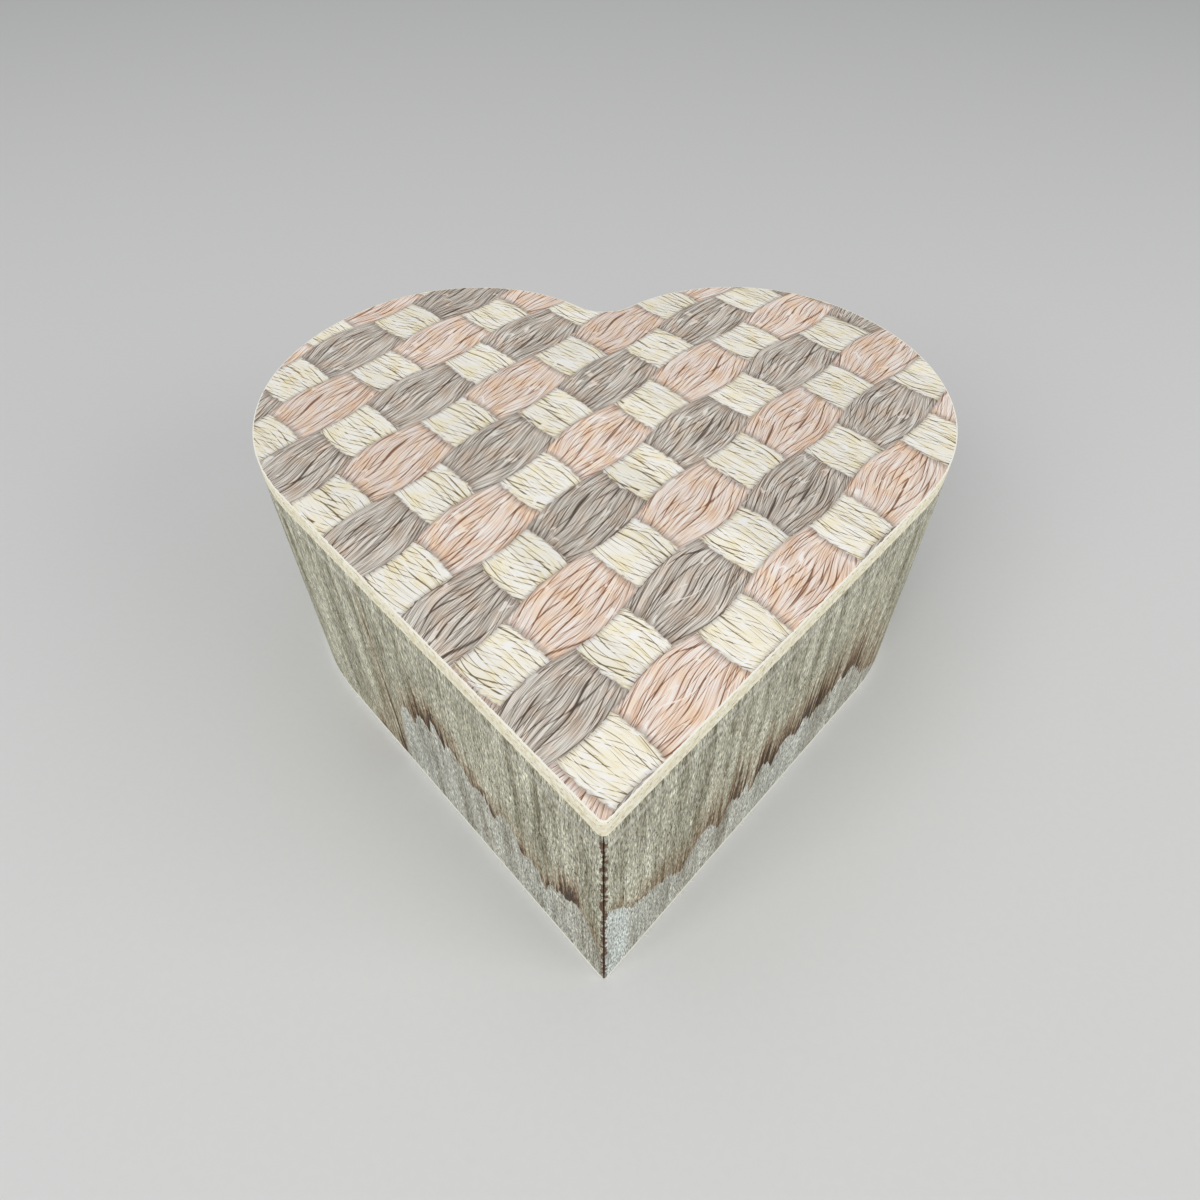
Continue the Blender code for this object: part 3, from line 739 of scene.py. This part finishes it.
@dataclass(frozen=True)
class BlockWood:
    """Planed whitewood block: warm and pale, with growth rings that show as straight stripes."""

    early: str = "#e6cfa4"
    late: str = "#c49a63"
    ring_spacing: float = 1.7

    def build(self) -> Material:
        """Builds the material, with its grain upright."""
        r = Recipe("block_wood")
        place = r.add("TexCoord", out="Object")
        scale = (1 / MM, 1 / MM, 0.12 / MM)
        place = r.add("VectorMath MULTIPLY", place, scale)
        rings = r.add("TexWave", place, 0.31 / self.ring_spacing, 1.5, 2.0, out=1)
        fibre = r.add("TexNoise", Vector=place, Scale=3.0, Detail=4.0)
        tone = r.add("Math MULTIPLY_ADD", fibre, 0.5, rings)
        tone = r.add("MapRange", tone, 0.2, 1.25)
        colour = r.add("Mix", tone, self.early, self.late)
        bump = r.add("Bump", Height=fibre, Distance=0.05 * MM, Strength=0.6)
        rough = r.add("MapRange", fibre, 0.3, 0.7, 0.65, 0.8)
        return r.close(colour, rough, bump, IOR=1.5, Specular_IOR_Level=0.3)


class Metal(Enum):
    """A metal's name, light colour, tarnish, least and greatest roughness and scratch spacing in mm."""

    STAMPED_BRASS = ("hinge_brass", "#d9b56a", "#8d6a35", 0.26, 0.5, 0.25)
    NICKEL_PLATE = ("magnet_plating", "#cfcdc8", "#96938c", 0.14, 0.3, 0.2)


@dataclass(frozen=True)
class HandledMetal:
    """Bright metal that has been handled: fine scratches, and dull tarnish in clouds a few mm across.

    Real scratches are too fine to show, so they are drawn coarser.
    """

    metal: Metal

    def build(self) -> Material:
        """Builds the material."""
        name, light, dull, smooth, rough, spacing = self.metal.value
        r = Recipe(name)
        place = r.add("TexCoord", out="Object")
        place = r.add("VectorMath SCALE", place, Scale=1 / MM)
        cloud = r.add("TexNoise", Vector=place, Scale=0.7, Detail=4.0, Roughness=0.6)
        scratch_place = r.add("VectorMath MULTIPLY", place, (0.2, 1.0, 1.0))
        scratch = r.add("TexNoise", Vector=scratch_place, Scale=1 / spacing, Detail=3.0)
        tarnish = r.add("MapRange", cloud, 0.42, 0.68, 0.0, 0.8)
        colour = r.add("Mix", tarnish, light, dull)
        uneven = r.add("Math MULTIPLY_ADD", scratch, 0.4, cloud)
        roughness = r.add("MapRange", uneven, 0.5, 0.9, smooth, rough)
        bump = r.add("Bump", Height=scratch, Distance=0.01 * MM, Strength=0.4)
        return r.close(colour, roughness, bump, Metallic=1.0)


@dataclass(frozen=True)
class StudioPaper:
    """Seamless paper roll: pale, matt, with a fine tooth."""

    tone: str = "#dcdcda"

    def build(self) -> Material:
        """Builds the material."""
        r = Recipe("studio_paper")
        place = r.add("TexCoord", out="Object")
        tooth = r.add("TexNoise", Vector=place, Scale=900.0, Detail=2.0)
        shade = r.add("MapRange", tooth, 0.3, 0.7, 0.985)
        colour = r.add("VectorMath SCALE", self.tone, Scale=shade)
        bump = r.add("Bump", Height=tooth, Distance=0.05 * MM, Strength=0.3)
        rough = r.add("MapRange", tooth, None, None, 0.85, 0.95)
        return r.close(colour, rough, bump, Specular_IOR_Level=0.2)


# ----------------------------------------------------------------------
# Meshes


class Shell:
    """A mesh being built: its points, faces and the measures that its finish reads."""

    def __init__(self) -> None:
        """Starts with nothing."""
        self.points: list[Vector] = []
        self.faces: list[tuple[int, ...]] = []
        self.board: list[Triple] = []
        self.tide: list[Triple] = []
        self.edges: list[Triple] = []

    def point(
        self, place: Vector, board: Triple, edges: Triple = NO_EDGES, tide: Triple = NO_TIDE
    ) -> int:
        """Adds a point.

        Args:
            place: Where it is, in mm.
            board: Run from the tip, depth in the board and height, in mm.
            edges: Distance from a glued joint and from an arris, in mm, and how far the face is bleached.
            tide: Height over the tide mark and the stain's rise over it, in mm, and how dark it is.

        Returns:
            The point's number.
        """
        self.points.append(place)
        self.board.append(board)
        self.edges.append(edges)
        self.tide.append(tide)
        return len(self.points) - 1

    def finish(self, name: str, material: Material, mirrored: bool = False) -> bpy.types.Object:
        """Makes the object.

        Args:
            name: The piece's name.
            material: Its finish.
            mirrored: Whether the faces run the other way round.

        Returns:
            The object, smooth-shaded, in metres.
        """
        mesh = bpy.data.meshes.new(name)
        faces = [face[::-1] for face in self.faces] if mirrored else self.faces
        mesh.from_pydata([p * MM for p in self.points], [], faces)
        for label, rows in (("board_mm", self.board), ("edges_mm", self.edges), ("tide", self.tide)):
            layer = mesh.attributes.new(label, "FLOAT_VECTOR", "POINT")
            layer.data.foreach_set("vector", [number for row in rows for number in row])
        mesh.shade_smooth()
        mesh.materials.append(material)
        piece = bpy.data.objects.new(name, mesh)
        bpy.context.scene.collection.objects.link(piece)
        piece.modifiers.new("even shading", "WEIGHTED_NORMAL").weight = FACE_WEIGHT
        return piece


def spaced(first: float, last: float, step: float) -> list[float]:
    """Even values from first to last, both included, about a step apart."""
    count = max(1, round(abs(last - first) / step))
    return [first + (last - first) * i / count for i in range(count + 1)]


def eased(centre: Knot, radius: float, first: float, steps: int = 3) -> list[Knot]:
    """Quarter turn of a section's arris.

    Args:
        centre: Inset and height of the turn's centre.
        radius: The arris's radius.
        first: Angle that it starts from, in quarter turns, where 0 is outward and 1 is up.
        steps: How many chords it has.

    Returns:
        Insets and heights, with both ends.
    """
    turns = [(first + i / steps) * math.pi / 2 for i in range(steps + 1)]
    return [(centre[0] - radius * math.cos(t), centre[1] + radius * math.sin(t)) for t in turns]


def graded(knots: tuple[Knot, ...], run: float, toothed: bool = False) -> float:
    """Value at a run from the tip.

    Args:
        knots: Runs and values, by rising run.
        run: The run.
        toothed: Whether low values are sharp teeth with round arches between them.

    Returns:
        The value between the two nearest knots.
    """
    before = knots[0]
    for after in knots:
        if run < after[0]:
            share = max((run - before[0]) / (after[0] - before[0]), 0.0)
            if toothed and after[1] > before[1]:
                share = math.sin(share * math.pi / 2)
            elif toothed:
                share = 1 - math.cos(share * math.pi / 2)
            return before[1] + (after[1] - before[1]) * share
        before = after
    return before[1]


@dataclass(frozen=True)
class TideMark:
    """Where the water stain stopped on one side, against the run from the tip in mm.

    The teeth are the mark's height, the rise is how far the stain is drawn up over it, both in mm;
    darkness and wash say how dark the stain is and how bleached the face is.
    """

    teeth: tuple[Knot, ...]
    rise: tuple[Knot, ...]
    darkness: tuple[Knot, ...]
    wash: tuple[Knot, ...]

    def at(self, run: float, height: float) -> Triple:
        """The tide attribute of a place on the face."""
        over_mark = height - graded(self.teeth, run, toothed=True)
        return (over_mark, graded(self.rise, run), graded(self.darkness, run))


TIDES = {
    Side.RIGHT: TideMark(
        teeth=(
            (0.0, 23.0), (2.9, 20.0), (4.4, 16.4), (9.3, 14.6), (11.8, 13.0), (15.4, 9.0), (20.7, 14.8),
            (24.3, 9.0), (26.2, 14.6), (28.6, 12.0), (30.0, 14.6), (31.4, 8.6), (33.8, 15.1),
            (36.8, 10.9), (39.3, 15.3), (43.2, 11.8), (44.4, 15.3), (46.8, 12.2), (48.5, 14.0),
            (50.0, 12.7), (51.4, 14.6), (52.9, 13.1), (54.6, 14.8), (56.4, 13.0), (58.0, 14.4),
            (63.6, 7.1), (72.0, 2.0), (170.0, -4.0),
        ),
        rise=(
            (0.0, 4.0), (4.4, 6.0), (15.0, 11.0), (28.0, 15.0), (39.0, 11.0), (56.0, 14.0),
            (66.0, 18.0), (90.0, 9.0),
        ),
        darkness=(
            (0.0, 0.1), (4.4, 0.5), (15.4, 0.62), (23.0, 0.6), (27.0, 1.0), (30.0, 0.75), (33.0, 1.0),
            (40.0, 0.85), (44.0, 1.1), (56.0, 1.0), (63.0, 0.7), (72.0, 0.35), (90.0, 0.0),
        ),
        wash=(
            (0.0, 0.2), (0.6, 1.0), (3.6, 0.9), (4.6, 0.3), (26.0, 0.15), (38.0, 0.5), (50.0, 0.2),
            (90.0, 0.0),
        ),
    ),
    Side.LEFT: TideMark(
        teeth=(
            (0.0, 7.9), (5.4, 17.4), (6.8, 14.9), (8.0, 15.6), (9.0, 14.0), (10.2, 14.2), (11.6, 9.6),
            (13.6, 14.8), (16.1, 13.5), (19.4, 19.4), (22.4, 14.5), (24.4, 18.9), (26.9, 17.6),
            (31.5, 22.6), (33.0, 20.0), (35.0, 24.9), (36.2, 20.1), (38.4, 22.3), (41.1, 16.7),
            (42.9, 19.8), (44.1, 18.6), (46.6, 8.6), (48.2, -2.0), (60.0, -6.0), (170.0, -12.0),
        ),
        rise=(
            (0.0, 6.0), (5.0, 10.0), (14.0, 8.0), (20.0, 6.0), (30.0, 9.0), (40.0, 9.0), (46.0, 7.0),
            (47.8, 30.0), (48.7, 45.0), (50.0, 30.0), (54.5, 20.0), (62.0, 12.0),
        ),
        darkness=(
            (0.0, 0.35), (3.6, 0.4), (5.4, 1.15), (6.8, 1.2), (9.0, 0.75), (11.6, 0.7), (13.6, 0.35),
            (16.1, 0.75), (19.4, 0.2), (22.4, 0.9), (27.0, 0.75), (31.0, 0.6), (33.0, 1.15),
            (36.2, 1.15), (41.1, 0.95), (43.5, 0.4), (47.6, 0.35), (48.5, 1.5), (49.0, 1.5),
            (50.0, 0.3), (52.0, 0.3), (54.5, 0.9), (57.5, 0.2), (70.0, 0.0),
        ),
        wash=(
            (0.0, 0.05), (6.0, 0.1), (12.0, 0.3), (24.0, 0.1), (44.0, 0.35), (47.0, 0.1), (49.0, 0.0),
        ),
    ),
}


@dataclass(frozen=True)
class BentWall:
    """One half of the box's or the lid's bent wall, from the mitre at the tip to the one in the cleft.

    The recess is the low and high corner, on the right, of the room cut for a hinge. Lengths are in mm.
    """

    plan: HeartPlan
    layer: Layer
    side: Side
    recess: tuple[Vector, Vector]
    bottom: float
    top: float
    wall: float = 4.0
    arris: float = 0.22
    seam: float = 0.03
    row: float = 0.8
    inner_row: float = 2.5
    rim_row: float = 0.7
    ledge: float | None = None
    trim: float = 0.15
    ridge: float = 0.05
    ridge_cell: Knot = (0.9, 8.0)
    sway: float = 0.06
    sway_cell: Knot = (14.0, 20.0)
    fibres: int = 26
    frayed: tuple[int, int] = (12, 85)
    chips: tuple[float, ...] = (9.7, 16.5, 64.0)
    chip_depth: float = 0.45
    chip_reach: float = 0.9

    def section(self) -> list[Knot]:
        """The wall's section as insets and heights: up the face, over the rim, down the inside, back."""
        a = self.arris
        low, high = self.bottom + a, self.top - a
        rim = 0.0 if self.ledge is None else self.trim
        if self.ledge is None:
            face = [(0.0, h) for h in spaced(low, high, self.row)]
        else:
            face = [(0.0, h) for h in spaced(low, self.ledge, self.row)]
            face += [(self.trim, h) for h in spaced(self.ledge + self.trim / 2, high, self.row)]
        knots = eased((a, low), a, -1.0)[:-1] + face + eased((rim + a, high), a, 0.0)[1:]
        knots += [(inset, self.top) for inset in spaced(rim + a, self.wall - a, self.rim_row)[1:-1]]
        knots += eased((self.wall - a, high), a, 1.0)
        knots += [(self.wall, h) for h in spaced(high, low, self.inner_row)[1:-1]]
        knots += eased((self.wall - a, low), a, 2.0)
        knots += [(inset, self.bottom) for inset in spaced(self.wall - a, a, self.rim_row)[1:-1]]
        return knots

    def _relief(self, run: float, inset: float, height: float) -> float:
        """How far the face lies inside its plan: upright grain ridges on slow sways of the bent board."""
        if inset > self.trim + self.arris:
            return 0.0
        signed = run * self.side.value
        fade = min(run, self.plan.runs[-1] - run, 1.0)
        fine = noise.noise(Vector((signed / self.ridge_cell[0], height / self.ridge_cell[1], 3.0)))
        slow = noise.noise(Vector((signed / self.sway_cell[0], height / self.sway_cell[1], 9.0)))
        return fade * (self.ridge * (0.5 + 0.5 * fine) + self.sway * (0.5 + 0.5 * slow))

    def _chip(self, run: float, inset: float, height: float) -> float:
        """How deep the saw has chipped the box's upper arris at a run from the tip, in mm."""
        on_arris = inset < self.arris and height > self.top - 2 * self.arris
        if self.layer is Layer.LID or self.side is Side.LEFT or not on_arris:
            return 0.0
        nearest = min(abs(run - spot) for spot in self.chips)
        return self.chip_depth * max(1 - nearest / self.chip_reach, 0.0)

    def _recessed(self, place: Vector) -> Vector:
        """A point on the back, moved in to the flat of the hinge's recess where it lies within one."""
        low, high = self.recess
        if low.x < abs(place.x) < high.x and low.z < place.z < high.z:
            return Vector((place.x, min(place.y, low.y), place.z))
        return place

    def build(self, material: Material) -> bpy.types.Object:
        """Builds the wall and lets it stand for its solid.

        Args:
            material: The bent plywood.

        Returns:
            The piece.
        """
        shell = Shell()
        knots = self.section()
        tide = TIDES[self.side]
        rings = {inset: self.plan.half(inset, self.seam) for inset in {inset for inset, _ in knots}}
        columns = len(self.plan.runs)
        length = self.plan.runs[-1]
        sign = self.side.value
        for column in range(columns):
            for inset, height in knots:
                s = rings[inset][column]
                back = self._relief(s.run, inset, height)
                drop = self._chip(s.run, inset, height)
                place = Vector((sign * (s.x - back * s.out_x), s.y - back * s.out_y, height - drop))
                place = self._recessed(place)
                joint = min(s.run, length - s.run)
                # The box's bottom arris gets a painted highlight that fades over this distance; the lid's
                # gets none.
                arris = height - self.bottom if self.layer is Layer.BOX else FAR
                edges = (joint, arris, graded(tide.wash, s.run))
                shell.point(place, (sign * s.run, inset, height), edges, tide.at(s.run, height))
        count = len(knots)
        for column in range(columns - 1):
            here, there = column * count, (column + 1) * count
            for k in range(count):
                after = (k + 1) % count
                shell.faces.append((here + k, there + k, there + after, here + after))
        shell.faces.append(tuple(range(count)))
        shell.faces.append(tuple(reversed(range((columns - 1) * count, columns * count))))
        self._loose_fibres(shell, rings[0.0])
        node = f"{self.layer.value}_wall_{self.side.name.lower()}"
        piece = shell.finish(f"{node}_plywood", material, mirrored=self.side is Side.LEFT)
        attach(piece, self.layer.value)
        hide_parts(node)
        return piece

    def _loose_fibres(self, shell: Shell, stations: list[Station]) -> None:
        """Adds short wood fibres that stand off the sawn bottom arris of the box.

        Args:
            shell: The wall's mesh.
            stations: The outline at the face.
        """
        if self.layer is Layer.LID:
            return
        rng = random.Random(f"{self.layer.value} {self.side.name}")
        for _ in range(self.fibres):
            s = rng.choice(stations[slice(*self.frayed)])
            lean = rng.uniform(-0.8, 0.8)
            reach = rng.uniform(0.25, 0.9)
            height = self.bottom + rng.uniform(0.15, 0.5)
            root = Vector((s.x - 0.1 * s.out_x, s.y - 0.1 * s.out_y, height))
            along = Vector((s.out_x - lean * s.out_y, s.out_y + lean * s.out_x, rng.uniform(-0.1, 0.35)))
            self._fibre(shell, root, along.normalized() * reach, rng.uniform(0.03, 0.055))

    def _fibre(self, shell: Shell, root: Vector, reach: Vector, radius: float) -> None:
        """Adds one tapered, three-sided fibre with a slight droop.

        Args:
            shell: The wall's mesh.
            root: Where it leaves the wood, on the right half, in mm.
            reach: From its root to its end, in mm.
            radius: At the root, in mm.
        """
        # The fibres read an arris distance of nought, so they are painted in full with the arris's
        # painted highlight.
        edges = (FAR, 0.0, 0.0)
        sideways = reach.cross(Vector((0.0, 0.0, 1.0))).normalized()
        upward = sideways.cross(reach).normalized()
        rings = []
        for share in (0.0, 0.35, 0.7):
            centre = root + reach * share + Vector((0.0, 0.0, 0.12 * share * (1 - share)))
            size = radius * (1 - 0.5 * share)
            ring = []
            for corner in range(3):
                turn = corner * math.tau / 3
                spot = centre + (sideways * math.cos(turn) + upward * math.sin(turn)) * size
                spot = Vector((spot.x * self.side.value, spot.y, spot.z))
                ring.append(shell.point(spot, (0.0, 0.0, self.bottom), edges))
            rings.append(ring)
        end = root + reach
        end = shell.point(Vector((end.x * self.side.value, end.y, end.z)), (0.0, 0.0, self.bottom), edges)
        for low, high in zip(rings, rings[1:]):
            for k in range(3):
                after = (k + 1) % 3
                shell.faces.append((low[k], high[k], high[after], low[after]))
        for k in range(3):
            shell.faces.append((rings[-1][k], end, rings[-1][(k + 1) % 3]))
        shell.faces.append(tuple(rings[0]))


@dataclass(frozen=True)
class HeartPlate:
    """A heart-shaped board or sheet with eased edges, laid flat."""

    plan: HeartPlan
    node: str
    layer: Layer
    slot: str
    inset: float
    bottom: float
    top: float
    arris: float
    edge_row: float = 0.5
    nap: float = 0.03
    margins: tuple[float, ...] = (0.3, 0.7, 1.5, 3.0)
    steps: int = 14
    middle: float = 0.78
    hub_depth: float = 40.0

    def _rings(self) -> Iterator[Triple]:
        """The plate's rings from the middle of its underside to the middle of its top.

        Yields:
            A ring's inset from the plate's edge, its scale about the centre and its height.
        """
        a = self.arris
        inward = [1 - i / self.steps for i in range(1, self.steps)]
        deepest = self.margins[-1]
        for share in reversed(inward):
            yield deepest, share, self.bottom
        for margin in reversed(self.margins):
            yield margin, 1.0, self.bottom
        for inset, height in eased((a, self.bottom + a), a, -1.0):
            yield inset, 1.0, height
        for height in spaced(self.bottom + a, self.top - a, self.edge_row)[1:-1]:
            yield 0.0, 1.0, height
        for inset, height in eased((a, self.top - a), a, 0.0):
            yield inset, 1.0, height
        for margin in self.margins:
            yield margin, 1.0, self.top
        for share in inward:
            yield deepest, share, self.top

    def _pit(self, inset: float, run: float, height: float) -> float:
        """How deep the sawn edge is pitted at a place on it, in mm."""
        if inset > 0.0:
            return 0.0
        return max(self.nap * noise.noise(Vector((run / 1.1, height * 1.5, 5.0))), 0.0)

    def build(self, material: Material) -> bpy.types.Object:
        """Builds the plate and lets it stand for its solid.

        Args:
            material: Its finish.

        Returns:
            The piece.
        """
        shell = Shell()
        centre = Vector((0.0, self.plan.tip_y + self.plan.lobe_centre.y * self.middle))
        count = len(self.plan.whole(0.0))
        rings = list(self._rings())
        outlines = {inset: self.plan.whole(self.inset + inset) for inset in {ring[0] for ring in rings}}
        for inset, share, height in rings:
            for s in outlines[inset]:
                pit = self._pit(inset, s.run, height)
                from_centre = Vector((s.x, s.y)) - centre
                flat = centre + from_centre * share
                place = Vector((flat.x - pit * s.out_x, flat.y - pit * s.out_y, height))
                reach = inset + (1 - share) * from_centre.length
                shell.point(place, (s.run, reach, height))
        for ring in range(len(rings) - 1):
            here, there = ring * count, (ring + 1) * count
            for k in range(count):
                after = (k + 1) % count
                shell.faces.append((here + k, here + after, there + after, there + k))
        for ring, height, turn in ((0, self.bottom, -1), (len(rings) - 1, self.top, 1)):
            hub = shell.point(Vector((centre.x, centre.y, height)), (0.0, self.hub_depth, height))
            start = ring * count
            for k in range(count):
                face = (start + k, start + (k + 1) % count, hub)
                shell.faces.append(face[::turn])
        piece = shell.finish(f"{self.node}_{self.slot}", material)
        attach(piece, self.layer.value)
        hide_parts(self.node)
        return piece


# ----------------------------------------------------------------------
# Sub-assemblies


@dataclass(frozen=True)
class Timber:
    """The box's and the lid's wooden pieces and the printed sheet, on the frame's own levels, in mm."""

    plan: HeartPlan
    saw_gap: float = 0.12
    trim: float = 0.15
    trim_band: float = 1.8
    joint_gap: float = 0.02
    board_drop: float = 0.30
    fit_gap: float = 0.08
    leaf_room: float = 0.3

    def build(self) -> list[bpy.types.Object]:
        """Builds and dresses the walls, boards and sheet."""
        plywood = BentPlywood().build()
        board = SawnPly().build()
        paper = WovenPrint().build()
        seam = frame["joints"][0]["pos_m"][2] / MM
        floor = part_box("box_wall_left")[0].z / MM
        lid_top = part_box("lid_print_sheet")[1].z / MM
        sheet_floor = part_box("lid_print_sheet")[0].z / MM
        board_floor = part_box("lid_board")[0].z / MM + self.board_drop
        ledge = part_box("lid_wall_left")[1].z / MM - self.trim_band
        base_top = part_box("base_board")[1].z / MM
        board_top = sheet_floor - self.joint_gap
        room = Vector((self.leaf_room, self.leaf_room, self.leaf_room))
        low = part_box("hinge_right_box_leaf")[0] / MM - room
        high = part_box("hinge_right_lid_leaf")[1] / MM + room
        made = []
        for side in Side:
            box = BentWall(self.plan, Layer.BOX, side, (low, high), floor, seam - self.saw_gap / 2)
            lid_floor, lid_rim = seam + self.saw_gap / 2, board_floor - self.joint_gap
            lid = BentWall(self.plan, Layer.LID, side, (low, high), lid_floor, lid_rim, ledge=ledge)
            made += [box.build(plywood), lid.build(plywood)]
        plates = (
            ("base_board", Layer.BOX, "bare_board", box.wall + self.fit_gap, floor, base_top, 0.2, board),
            ("lid_board", Layer.LID, "bare_board", self.trim, board_floor, board_top, 0.08, board),
            ("lid_print_sheet", Layer.LID, "printed_paper", self.trim, sheet_floor, lid_top, 0.1, paper),
        )
        for node, layer, slot, inset, bottom, top, arris, material in plates:
            plate = HeartPlate(self.plan, node, layer, slot, inset, bottom, top, arris)
            made.append(plate.build(material))
        return made


@dataclass(frozen=True)
class Fittings:
    """The hinges, brads, magnets and tip blocks: their own solids, with eased arrises and a finish."""

    bevels: tuple[tuple[str, float], ...] = (
        ("pin", 0.08), ("leaf", 0.12), ("brad", 0.06), ("magnet", 0.15), ("block", 0.3),
    )
    chords: int = 2
    sharp: float = math.radians(35)

    def build(self) -> list[bpy.types.Object]:
        """Dresses every node of these kinds."""
        finishes = {
            "hinge_brass": HandledMetal(Metal.STAMPED_BRASS).build(),
            "magnet_plating": HandledMetal(Metal.NICKEL_PLATE).build(),
            "block_wood": BlockWood().build(),
        }
        made = []
        for name, node in sorted(frame["nodes"].items()):
            width = next((w for word, w in self.bevels if word in name), None)
            if width is None:
                continue
            for slot in node.material_slots:
                slot.material = finishes[slot.material.name.split(".")[0]]
            ease = node.modifiers.new("eased arrises", "BEVEL")
            ease.width = width * MM
            ease.segments = self.chords
            ease.limit_method = "ANGLE"
            ease.angle_limit = self.sharp
            ease.harden_normals = True
            made.append(node)
        return made


@dataclass(frozen=True)
class Studio:
    """Pale paper floor, soft lamps and the camera, placed from the lid's top, in mm."""

    lid_top: float
    eye: Triple = (0.14, -92.14, 74.49)
    aim: Triple = (-0.47, -25.01, 0.0)
    roll: float = -0.0065
    lens: float = 24.96
    nearest: float = 10.0
    sheet: float = 6000.0
    surround: str = "#f2f4f7"
    surround_strength: float = 0.42

    def build(self) -> None:
        """Builds the floor, the lamps, the surrounding light and the camera."""
        self._floor()
        self._lamp("overhead_softbox", (-120, 60, 800), 700, 1.05)
        self._lamp("front_left_softbox", (-420, -480, 520), 420, 2.5)
        self._lamp("right_reflector", (520, -260, 300), 400, 1.4)
        world = bpy.data.worlds.new("surrounding_light")
        world.use_nodes = True
        back = world.node_tree.nodes["Background"]
        back.inputs["Color"].default_value = srgb(self.surround)
        back.inputs["Strength"].default_value = self.surround_strength
        bpy.context.scene.world = world
        bpy.context.scene.view_settings.view_transform = "Standard"
        self._camera()

    def _floor(self) -> None:
        """Lays a wide sheet of paper under the box."""
        bpy.ops.mesh.primitive_plane_add(size=self.sheet * MM, location=(0.0, 0.0, 0.0))
        floor = bpy.context.object
        floor.name = "paper_floor"
        floor.data.materials.append(StudioPaper().build())

    def _lamp(self, name: str, place: Triple, size: float, watts: float) -> None:
        """Hangs a square soft lamp that faces the box.

        Args:
            name: Its name.
            place: Its place in mm.
            size: Its side in mm.
            watts: Its power.
        """
        data = bpy.data.lights.new(name, "AREA")
        data.size = size * MM
        data.energy = watts
        lamp = bpy.data.objects.new(name, data)
        lamp.location = Vector(place) * MM
        lamp.rotation_mode = "QUATERNION"
        lamp.rotation_quaternion = (-Vector(place)).to_track_quat("-Z", "Y")
        bpy.context.scene.collection.objects.link(lamp)

    def _camera(self) -> None:
        """Sets the camera over the tip, looking down at the lid."""
        data = bpy.data.cameras.new("camera")
        data.lens = self.lens
        data.clip_start = self.nearest * MM
        camera = bpy.data.objects.new("camera", data)
        lift = Vector((0.0, 0.0, self.lid_top))
        camera.location = (Vector(self.eye) + lift) * MM
        view = (Vector(self.aim) - Vector(self.eye)).to_track_quat("-Z", "Y")
        camera.rotation_mode = "QUATERNION"
        camera.rotation_quaternion = view @ Quaternion((0.0, 0.0, 1.0), self.roll)
        bpy.context.scene.collection.objects.link(camera)
        bpy.context.scene.camera = camera


def main() -> None:
    """Builds the studio, the timber and the fittings, and reports each piece."""
    logging.basicConfig(level=logging.INFO, format="%(message)s")
    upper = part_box("box_wall_right")[1]
    plan = HeartPlan(width=2 * upper.x / MM, back=upper.y / MM)
    Studio(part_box("lid_print_sheet")[1].z / MM).build()
    for assembly in (Timber(plan), Fittings()):
        for piece in assembly.build():
            faces = len(piece.data.polygons)
            LOG.info("%s: %s, %d faces", type(assembly).__name__, piece.name, faces)
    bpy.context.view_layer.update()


if __name__ == "__main__":
    main()
